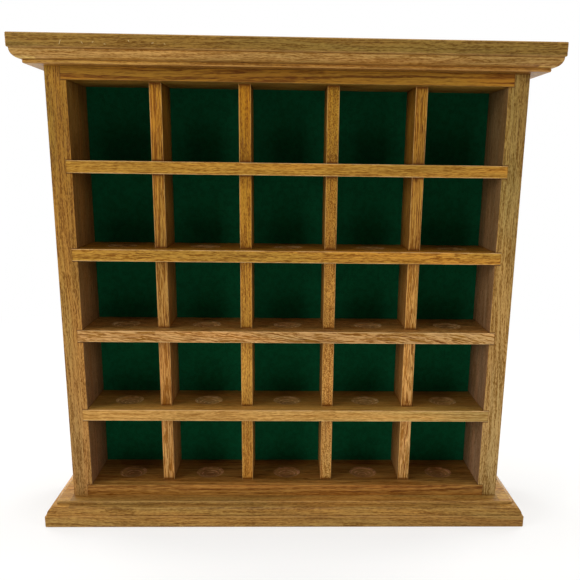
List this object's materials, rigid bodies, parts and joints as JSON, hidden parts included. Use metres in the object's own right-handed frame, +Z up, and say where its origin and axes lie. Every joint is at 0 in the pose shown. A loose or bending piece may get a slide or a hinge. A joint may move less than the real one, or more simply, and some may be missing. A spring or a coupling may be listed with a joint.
{
  "type": "golf ball display case",
  "caption": "Open oak display case with a grid of felt-backed cubbies, each with a round seat for one golf ball, between a moulded cap and base.",
  "frame": {"origin": "under the middle of the whole case, on the surface that the base stands on", "axes": "+X to the case's right as seen from the front, +Y to its back, +Z up"},
  "size_m": [0.3226, 0.0658, 0.3084],
  "materials": {
    "oak_cap": "golden oak, satin lacquer, moulded on three sides",
    "oak_base": "golden oak, satin lacquer, moulded on three sides",
    "oak_sides": "golden oak, grain upright, satin lacquer",
    "oak_panels": "golden oak, satin lacquer",
    "oak_shelves": "golden oak, grain along the shelf, satin lacquer",
    "oak_dividers": "golden oak, grain upright, satin lacquer",
    "plywood": "raw plywood",
    "green_felt": "dark green wool felt",
    "zinc_steel": "zinc plated"
  },
  "bodies": {
    "root": {"base_board": "oak_base", "cap_board": "oak_cap", "side_left": "oak_sides", "side_right": "oak_sides", "bottom_panel": "oak_panels", "top_panel": "oak_panels", "shelf_1": "oak_shelves", "shelf_2": "oak_shelves", "shelf_3": "oak_shelves", "shelf_4": "oak_shelves", "divider_1": "oak_dividers", "divider_2": "oak_dividers", "divider_3": "oak_dividers", "divider_4": "oak_dividers", "back_board": "plywood", "felt_lining": "green_felt", "base_screws": "zinc_steel", "cap_nails": "zinc_steel", "back_brads": "zinc_steel"}
  },
  "joints": []
}
